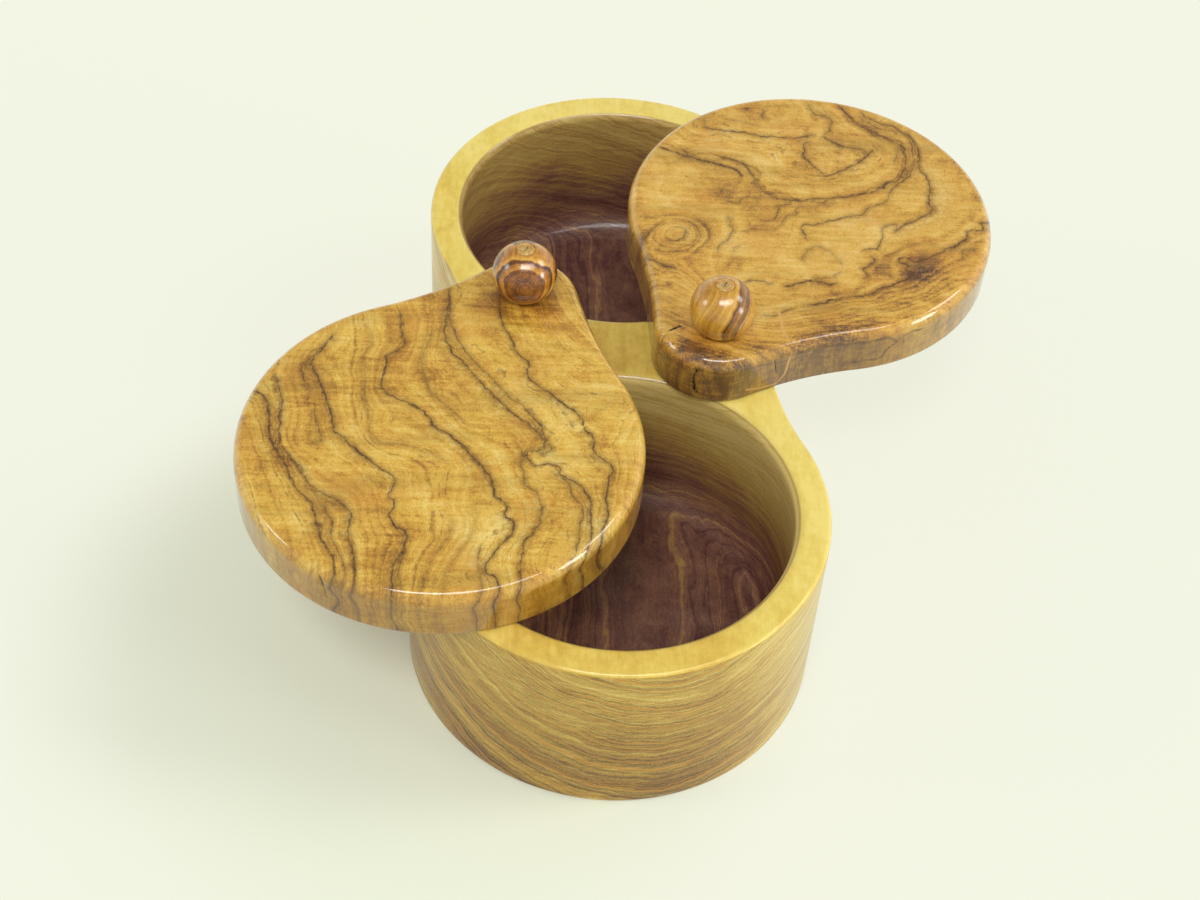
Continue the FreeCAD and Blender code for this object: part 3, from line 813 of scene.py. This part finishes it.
def lid_wood(name, palette, wall_shade, wall_share):
    """Figured wood: streaks that follow the veins, mottled patches, thin dark veins and fine flecks. The sides are
    darker and browner: partly their own grain, partly painted shade.
    """
    n = Nodes(name)
    tall = n.places(1000, 1000, 240)
    flat = n.places(200, 200, 1500)
    crosswise = n.places(1000, 130, 240)
    level, side, near = n.field("level"), n.field("vein_side"), n.field("vein_near")
    dark, width, shade, tone = n.field("vein_dark"), n.field("vein_width"), n.field("shade"), n.field("tone")
    wall = n.field("wall")
    bent = n.plus(level, n.around(n.noise(tall, 0.14, 4), 3.4), n.around(n.noise(tall, 0.9, 2), 0.6))
    broad = n.line_noise(bent, 0.20, 2, 0.5)
    streak = n.line_noise(bent, 0.8, 3, 0.6)
    fine = n.line_noise(bent, 2.8, 3, 0.65)
    mottle = n.noise(tall, 0.13, 5, 0.62, 0.8)
    blotch = n.noise(tall, 0.05, 3, 0.5, 0.5)
    flecks = n.noise(tall, 2.2, 4, 0.8, 0.4)
    strokes = n.noise(crosswise, 0.8, 4, 0.65, 0.5)
    layers = n.times(wall, n.around(n.noise(flat, 1.0, 4, 0.65), 1.0))
    # Lower on the sides the value drops: partly the sides' own grain, partly painted shade.
    value = n.plus(0.58, n.around(broad, 0.55), n.around(streak, 0.5), n.around(fine, 0.32), n.around(mottle, 0.9),
                   n.around(blotch, 0.6), n.around(flecks, 1.1), n.around(strokes, 0.9), layers,
                   n.times(tone, 0.6), n.times(wall, -0.12))
    colour = n.ramp(value, palette)
    orange = n.step(n.noise(tall, 0.08, 3, 0.6), 0.45, 0.7, 0.0, 0.35)
    colour = n.mix(orange, colour, srgb(206, 136, 50))
    olive = n.step(n.noise(crosswise, 0.16, 3, 0.6), 0.48, 0.72, 0.0, 0.4)
    colour = n.mix(olive, colour, srgb(164, 132, 50))
    # The sides' darker, browner colour: partly their own grain, partly painted shade.
    colour = n.mix(n.times(wall, wall_share), colour, wall_shade)
    colour = n.mix(n.times(wall, n.step(n.noise(crosswise, 0.35, 4, 0.7), 0.45, 0.75, 0.0, 0.45)), colour, srgb(126, 92, 52))
    thin = n.step(n.math("ABSOLUTE", n.math("SUBTRACT", n.line_noise(bent, 0.9, 1, 0.5), 0.5)), 0.003, 0.022, 1.0, 0.0)
    thin = n.times(thin, n.step(n.noise(tall, 0.3, 4, 0.7), 0.44, 0.62, 0.0, 0.6))
    colour = n.mix(thin, colour, srgb(124, 84, 32))
    cloud = n.times(shade, n.step(n.noise(tall, 0.9, 4, 0.7), 0.3, 0.7, 0.1, 0.85))
    colour = n.mix(cloud, colour, srgb(136, 96, 38))
    grit = n.plus(n.around(n.noise(tall, 0.8, 3, 0.6), 1.1), n.around(n.noise(tall, 2.6, 3, 0.7), 0.8))
    reach = n.math("ABSOLUTE", n.plus(side, grit))
    close = n.step(near, 0.6, 1.2, 1.0, 0.0)
    core = n.times(n.step(n.math("DIVIDE", reach, width), 0.2, 0.75, 1.0, 0.0), close)
    twin_place = n.math("ABSOLUTE", n.plus(side, grit, n.around(n.noise(tall, 0.2, 2), 2.6)))
    twin = n.times(n.step(twin_place, 0.05, 0.22, 1.0, 0.0), n.step(near, 1.3, 2.2, 0.7, 0.0))
    halo = n.step(reach, 0.1, 1.3, 0.42, 0.0)
    uneven = n.step(n.noise(tall, 0.5, 4, 0.7), 0.34, 0.58, 0.6, 1.0)
    ink = n.math("MAXIMUM", n.math("MAXIMUM", core, n.times(twin, 0.6)), halo)
    ink = n.times(n.times(ink, uneven), n.step(dark, 0.1, 0.95, 0.0, 0.92))
    colour = n.mix(ink, colour, VEIN_COLOUR)
    side_line = n.times(n.step(n.field("line_near"), 0.3, 1.0, 1.0, 0.0), n.field("line_dark"))
    colour = n.mix(side_line, colour, srgb(70, 52, 26))
    colour = n.mix(n.times(n.step(n.noise(tall, 3.2, 2, 0.5), 0.62, 0.72), 0.45), colour, srgb(116, 74, 26))
    colour = n.mix(n.step(n.field("pale"), 0.15, 0.5, 0.8, 0.0), colour, srgb(226, 178, 100))
    # The splits are painted near-black: painted shade deep in the gaps.
    colour = n.mix(n.step(n.field("crack"), 0.35, 0.9, 1.0, 0.0), colour, SPLIT_COLOUR)
    height = n.math("SUBTRACT", n.noise(tall, 0.10, 3), n.times(ink, 0.10))
    lacquer(n, colour, n.step(mottle, 0.2, 0.8, 0.38, 0.5), height, 0.25, 1.0)
    return n.material


def block_wood():
    """Pale sapwood on the rim, ringed tan wood outside and brown heartwood inside the bowls. Painted light and shade
    are mixed in: the near bowl's walls are paler, the bowls darken towards their floor, the waist rim and the lip's
    round are darker, and the right and far sides are paler.
    """
    n = Nodes("block_olive")
    place = n.places(1000, 1000, 1000)
    parts = n.put("SeparateXYZ", i0=place)
    across, height = n.math("SUBTRACT", parts.outputs[1], 12.0), n.math("SUBTRACT", 84.0, parts.outputs[2])
    ring = n.math("SQRT", n.plus(n.times(across, across), n.times(height, height)))
    along = n.places(260, 1000, 1000)
    layered = n.places(130, 130, 1300)
    bent = n.plus(ring, n.around(n.noise(along, 0.035, 3), 9.0), n.around(n.noise(along, 0.3, 4, 0.6), 1.5))
    broad = n.line_noise(bent, 0.16, 2, 0.5)
    streak = n.line_noise(bent, 0.8, 3, 0.65)
    fine = n.line_noise(bent, 3.2, 4, 0.75)
    fibres = n.noise(layered, 1.0, 5, 0.75, 0.3)
    mottle = n.noise(along, 0.07, 4, 0.6)
    speck = n.noise(place, 2.4, 4, 0.8)
    grain = n.plus(n.around(broad, 0.55), n.around(streak, 0.7), n.around(fine, 0.8), n.around(fibres, 1.0),
                   n.around(mottle, 0.5), n.around(speck, 0.8))
    low_share = n.step(parts.outputs[2], -4.0, 46.0, -0.26, 0.09)
    # Paler towards the right and far sides: partly pale sapwood, partly painted light where the side lamps and the
    # bright floor light them.
    sapwood = n.step(n.plus(n.times(parts.outputs[0], -0.7), parts.outputs[1]), -50.0, -8.0, 0.0, 0.36)
    outer = n.ramp(n.plus(0.55, grain, low_share, sapwood),
                   [(0.0, srgb(78, 52, 24)), (0.28, srgb(128, 92, 36)), (0.5, srgb(174, 138, 56)),
                    (0.72, srgb(202, 170, 78)), (1.0, srgb(226, 202, 116))])
    tint = n.step(n.line_noise(bent, 1.0, 3, 0.7), 0.5, 0.62)
    outer = n.mix(n.times(tint, 0.6), outer, srgb(206, 140, 42))
    grey = n.step(n.line_noise(n.plus(bent, 50.0), 1.1, 3, 0.7), 0.54, 0.66)
    outer = n.mix(n.times(grey, 0.5), outer, srgb(106, 102, 68))
    # Darker towards the bowls' floor: partly brown heartwood, partly painted shade in the hollows.
    deep = n.step(n.plus(parts.outputs[2], n.around(n.noise(along, 0.05, 3), 26.0)), 10.0, 40.0)
    # Paler walls in the near bowl, above its floor: painted light, standing in for light thrown back from the salt that
    # filled it.
    near_bowl_painted_light = n.times(n.step(parts.outputs[0], -10.0, 10.0, 0.0, 0.30), n.step(parts.outputs[2], 12.0, 36.0))
    core = n.ramp(n.plus(0.20, n.times(grain, 0.7), n.times(deep, 0.45), near_bowl_painted_light),
                  [(0.0, srgb(92, 54, 52)), (0.3, srgb(144, 102, 80)), (0.55, srgb(188, 150, 82)),
                   (0.8, srgb(212, 184, 104)), (1.0, srgb(232, 208, 130))])
    pale = n.step(n.plus(n.times(parts.outputs[0], -1.0), n.times(parts.outputs[1], 1.5)), -85.0, 35.0, 0.0, 0.4)
    patches = n.plus(n.around(n.noise(along, 0.09, 4, 0.6), 1.1), n.around(n.noise(place, 0.35, 4, 0.65), 0.7))
    # Darker rim at the waist, between the lids: painted shade.
    waist = n.step(n.math("ABSOLUTE", parts.outputs[0]), 5.0, 16.0, -0.4, 0.0)
    rim = n.ramp(n.plus(0.5, waist, patches, n.around(n.noise(along, 0.9, 3, 0.6), 0.5), n.around(speck, 0.4), pale),
                 [(0.0, srgb(192, 152, 56)), (0.4, srgb(224, 188, 80)), (0.7, srgb(238, 210, 100)),
                  (1.0, srgb(248, 226, 126))])
    edge = n.times(n.field("rim"), n.math("SUBTRACT", 1.0, n.field("rim")))
    rim = n.mix(n.times(edge, 2.2), rim, srgb(176, 122, 44))
    # A darker brown line on the lip's round: painted shade.
    lip = n.times(n.field("inside"), n.math("SUBTRACT", 1.0, n.field("inside")))
    colour = n.mix(n.field("rim"), n.mix(n.field("inside"), outer, core), rim)
    colour = n.mix(n.field("inside"), colour, core)
    colour = n.mix(n.times(lip, 2.2), colour, srgb(150, 112, 46))
    coat = n.plus(n.step(n.field("inside"), 0.0, 1.0, 0.5, 0.3), n.times(n.field("rim"), 0.15))
    lacquer(n, colour, n.step(mottle, 0.2, 0.8, 0.38, 0.5), fibres, 0.12, coat)
    return n.material


def knob_wood(name, centre, axis, dark_ring, ring_share, palette):
    """Turned wood with growth rings about a slanting line through the given centre. The dark ring, as (radius, half
    width) in millimetres, is plain, and ring_share says how strong and regular the others are."""
    n = Nodes(name)
    coordinates = n.put("TexCoord").outputs["Object"]
    turned = n.put("Mapping", {"vector_type": "TEXTURE"}, i0=coordinates, i1=centre, i2=axis).outputs[0]
    place = n.put("Mapping", i0=turned, i3=(1000, 1000, 1000)).outputs[0]
    flat = n.put("Mapping", i0=turned, i3=(1000, 1000, 80)).outputs[0]
    radius = n.put("VectorMath", {"operation": "LENGTH"}, i0=n.put("Mapping", i0=turned, i3=(1000, 1000, 0)).outputs[0])
    level = n.plus(radius.outputs["Value"], n.around(n.noise(place, 0.13, 3), 2.6), n.around(n.noise(place, 0.9, 2), 0.3))
    bands = n.math("FRACT", n.times(level, 0.66))
    band = n.times(n.step(bands, 0.05, 0.7), n.step(bands, 0.8, 0.99, 1.0, 0.0))
    broad = n.line_noise(level, 0.45, 2)
    fine = n.line_noise(level, 2.6, 3, 0.7)
    fibres = n.noise(flat, 1.6, 3, 0.65)
    blotch = n.noise(place, 0.16, 3, 0.6, 0.4)
    apart = n.math("ABSOLUTE", n.math("SUBTRACT", level, dark_ring[0]))
    inside = n.step(apart, dark_ring[1] * 0.8, dark_ring[1] * 1.15, 1.0, 0.0)
    rings = n.times(n.math("SUBTRACT", 1.0, inside), n.times(band, -ring_share))
    value = n.plus(0.80, rings, n.times(inside, -0.58), n.around(broad, 1.1), n.around(fine, 0.55),
                   n.around(fibres, 0.6), n.around(blotch, 0.8))
    colour = n.ramp(value, palette)
    lacquer(n, colour, 0.36, fibres, 0.12, 1.0, coat_roughness=0.16)
    return n.material


def pin_wood():
    """Pale dowel, with the pores of its end grain and a dark split."""
    n = Nodes("dowel_wood")
    value = n.plus(0.5, n.around(n.noise(n.places(1000, 1000, 120), 1.1, 4, 0.65), 1.2))
    colour = n.ramp(value, [(0.1, srgb(128, 86, 34)), (0.45, srgb(196, 152, 78)), (0.85, srgb(232, 200, 130))])
    # The split is painted near-black: painted shade deep in the gap.
    colour = n.mix(n.step(n.field("crack"), 0.35, 0.9, 1.0, 0.0), colour, SPLIT_COLOUR)
    lacquer(n, colour, 0.4, value, 0.15, 0.6)
    return n.material


def dress(obj, material, body, node):
    obj.data.materials.clear()
    obj.data.materials.append(material)
    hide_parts(node)
    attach(obj, body)


# Camera, floor and light

def make_camera():
    azimuth, elevation, roll = (math.radians(a) for a in (CAMERA_AZIMUTH, CAMERA_ELEVATION, CAMERA_ROLL))
    back = Vector((math.sin(azimuth) * math.cos(elevation), -math.cos(azimuth) * math.cos(elevation),
                   math.sin(elevation)))
    right = Vector((math.cos(azimuth), math.sin(azimuth), 0))
    up = back.cross(right)
    rolled_right = right * math.cos(roll) + up * math.sin(roll)
    rolled_up = up * math.cos(roll) - right * math.sin(roll)
    data = bpy.data.cameras.new("camera")
    data.lens = CAMERA_LENS
    data.sensor_width = SENSOR_WIDTH
    data.clip_start = 0.01
    camera = bpy.data.objects.new("camera", data)
    turn = Matrix((rolled_right, rolled_up, back)).transposed()
    camera.matrix_world = Matrix.Translation(CAMERA_TARGET + back * CAMERA_DISTANCE) @ turn.to_4x4()
    bpy.context.scene.collection.objects.link(camera)
    bpy.context.scene.camera = camera


def make_lamp(name, azimuth, elevation, strength, width, gloss_only=False):
    """A far lamp. Its direction is in degrees from +X and above the floor, and its width in degrees. One that is
    for the gloss only shows in the lacquer and adds no light to the wood."""
    data = bpy.data.lights.new(name, "SUN")
    data.energy = strength
    data.angle = math.radians(width)
    lamp = bpy.data.objects.new(name, data)
    lamp.visible_diffuse = not gloss_only
    a, e = math.radians(azimuth), math.radians(elevation)
    towards = Vector((math.cos(a) * math.cos(e), math.sin(a) * math.cos(e), math.sin(e)))
    lamp.rotation_mode = "QUATERNION"
    lamp.rotation_quaternion = towards.to_track_quat("Z", "Y")
    bpy.context.scene.collection.objects.link(lamp)


SHADOW_PLACE = (0.052, -0.042, 0.0)
SHADOW_REACH = 0.055
SHADOW_END = 0.095


def make_floor():
    """White paper. For the camera it partly glows, as in the bright photograph: least under the left lid, where the
    shadow is kept in full, and most farther off."""
    n = Nodes("floor_paper")
    paper = srgb(245, 246, 230)
    n.shader.inputs["Base Color"].default_value = srgb(241, 247, 226)
    n.shader.inputs["Roughness"].default_value = 0.9
    n.shader.inputs["Specular IOR Level"].default_value = 0.0
    glow = n.put("Emission", Color=paper, Strength=1.0)
    rays = n.put("LightPath")
    seen = n.math("MAXIMUM", rays.outputs["Is Camera Ray"], rays.outputs["Is Glossy Ray"])
    place = n.put("TexCoord").outputs["Object"]
    apart = n.put("VectorMath", {"operation": "DISTANCE"}, i0=place, i1=SHADOW_PLACE).outputs["Value"]
    share = n.step(apart, SHADOW_REACH, SHADOW_END, 0.1, 0.82)
    mixed = n.put("MixShader", i0=n.times(seen, share), i1=n.shader.outputs[0], i2=glow.outputs[0])
    n.tree.links.new(mixed.outputs[0], n.tree.nodes["Material Output"].inputs["Surface"])
    half = 6.0
    floor = new_object("floor", [(-half, -half, 0), (half, -half, 0), (half, half, 0), (-half, half, 0)],
                       [(0, 1, 2, 3)])
    floor.data.materials.append(n.material)


def make_world():
    """Even light from all around. Glossy and camera rays see white paper near the horizon and a dimmer room above."""
    world = bpy.data.worlds.new("studio")
    world.use_nodes = True
    tree = world.node_tree
    background = tree.nodes["Background"]
    background.inputs["Color"].default_value = (1.0, 1.0, 0.97, 1.0)
    rays = tree.nodes.new("ShaderNodeLightPath")
    seen = tree.nodes.new("ShaderNodeMath")
    seen.operation = "MAXIMUM"
    tree.links.new(rays.outputs["Is Camera Ray"], seen.inputs[0])
    tree.links.new(rays.outputs["Is Glossy Ray"], seen.inputs[1])
    parts = tree.nodes.new("ShaderNodeSeparateXYZ")
    tree.links.new(tree.nodes.new("ShaderNodeTexCoord").outputs["Generated"], parts.inputs[0])
    height = tree.nodes.new("ShaderNodeMapRange")
    for socket, value in zip(height.inputs[1:5], (0.2, 0.6, 1.0, 0.3)):
        socket.default_value = value
    tree.links.new(parts.outputs[2], height.inputs[0])
    strength = tree.nodes.new("ShaderNodeMix")
    strength.inputs["A"].default_value = 0.48
    tree.links.new(seen.outputs[0], strength.inputs["Factor"])
    tree.links.new(height.outputs[0], strength.inputs["B"])
    tree.links.new(strength.outputs["Result"], background.inputs["Strength"])
    bpy.context.scene.world = world


make_camera()
make_world()
make_floor()
make_lamp("front_lamp", -15, 60, 0.95, 18)
make_lamp("front_glint", 16, 60, 1.00, 20, gloss_only=True)
make_lamp("side_glint", 50, 57, 0.60, 20, gloss_only=True)
make_lamp("low_window", 68, 12, 0.70, 16)
make_lamp("right_window", 95, 36, 0.75, 20)
make_lamp("left_window", -86, 24, 0.45, 16)

block = make_block()
dress(block, block_wood(), "base", "block")

HONEY = [(0.0, srgb(122, 78, 26)), (0.25, srgb(176, 124, 42)), (0.5, srgb(218, 168, 64)), (0.72, srgb(234, 192, 84)),
         (1.0, srgb(246, 216, 124))]
AMBER = [(0.0, srgb(76, 50, 36)), (0.14, srgb(118, 84, 54)), (0.3, srgb(174, 126, 54)), (0.5, srgb(216, 164, 66)), (0.72, srgb(230, 184, 84)),
         (1.0, srgb(242, 206, 120))]

left_lid, left_own = make_lid("left_pear_lid", LEFT_PIVOT, LEFT_BOWL, LEFT_LID_OPEN, LEFT_NECK_RADIUS, (0.0, 0.0),
                              "left_lid")
paint_figure(left_lid, left_own, LEFT_VEINS, LEFT_PATCHES, left_grain, 11)
paint_lines(left_lid, left_own, [(0, 0, 90), (0, 1, 90)], [], 21)
split_open(left_lid, left_own, LEFT_SPLITS)
dress(left_lid, lid_wood("left_lid_olive", HONEY, srgb(154, 110, 24), 0.55), "left_lid", "left_lid")

right_lid, right_own = make_lid("right_pear_lid", RIGHT_PIVOT, RIGHT_BOWL, RIGHT_LID_OPEN, RIGHT_NECK_RADIUS,
                                (RIGHT_NECK_AHEAD, RIGHT_NECK_ASIDE), "right_lid")
paint_figure(right_lid, right_own, RIGHT_VEINS, RIGHT_PATCHES, right_grain, 29)
paint_lines(right_lid, right_own, PALE_LINE, SIDE_LINES, 31)
split_open(right_lid, right_own, RIGHT_SPLITS)
dress(right_lid, lid_wood("right_lid_olive", AMBER, srgb(140, 112, 60), 0.5), "right_lid", "right_lid")


def make_knob_and_pin(side, pivot, ring_centre, ring_axis, dark_ring, ring_share, palette, splits):
    """One ball on its dowel. The rings' centre is measured in millimetres from the ball's middle."""
    knob = make_knob(side + "_ball_knob", pivot, side + "_knob")
    low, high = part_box(side + "_knob")
    centre = (low + high) / 2 + Vector(ring_centre) * MM
    turn = Vector(ring_axis).to_track_quat("Z", "Y").to_euler()
    wood = knob_wood(side + "_knob_olive", centre, turn, dark_ring, ring_share, palette)
    dress(knob, wood, "base", side + "_knob")
    pin = make_pin(side + "_dowel", pivot, side + "_pin", splits)
    dress(pin, pin_wood(), "base", side + "_pin")


make_knob_and_pin("left", LEFT_PIVOT, (0, 0, 0), (1.0, 0.02, 0.06), (0.0, 4.4), 0.6,
                  [(0.0, srgb(70, 34, 12)), (0.25, srgb(116, 66, 24)), (0.5, srgb(172, 110, 36)),
                   (0.75, srgb(212, 152, 56)), (1.0, srgb(236, 190, 90))],
                  [(0.16, 0.2, [(-0.8, 0.5), (0.1, 0.2), (0.7, -0.4)])])
make_knob_and_pin("right", RIGHT_PIVOT, (-2, -13, 0), (0.35, 0.1, 1.0), (17.0, 1.2), 0.12,
                  [(0.0, srgb(76, 44, 16)), (0.25, srgb(128, 82, 28)), (0.5, srgb(174, 118, 38)),
                   (0.75, srgb(204, 148, 50)), (1.0, srgb(228, 180, 78))],
                  [(0.18, 0.3, [(0.2, -1.1), (0.4, -0.2), (0.3, 0.7)]), (0.16, 0.2, [(0.4, -0.2), (-0.6, 0.4)])])

bpy.context.scene.view_settings.view_transform = "Standard"
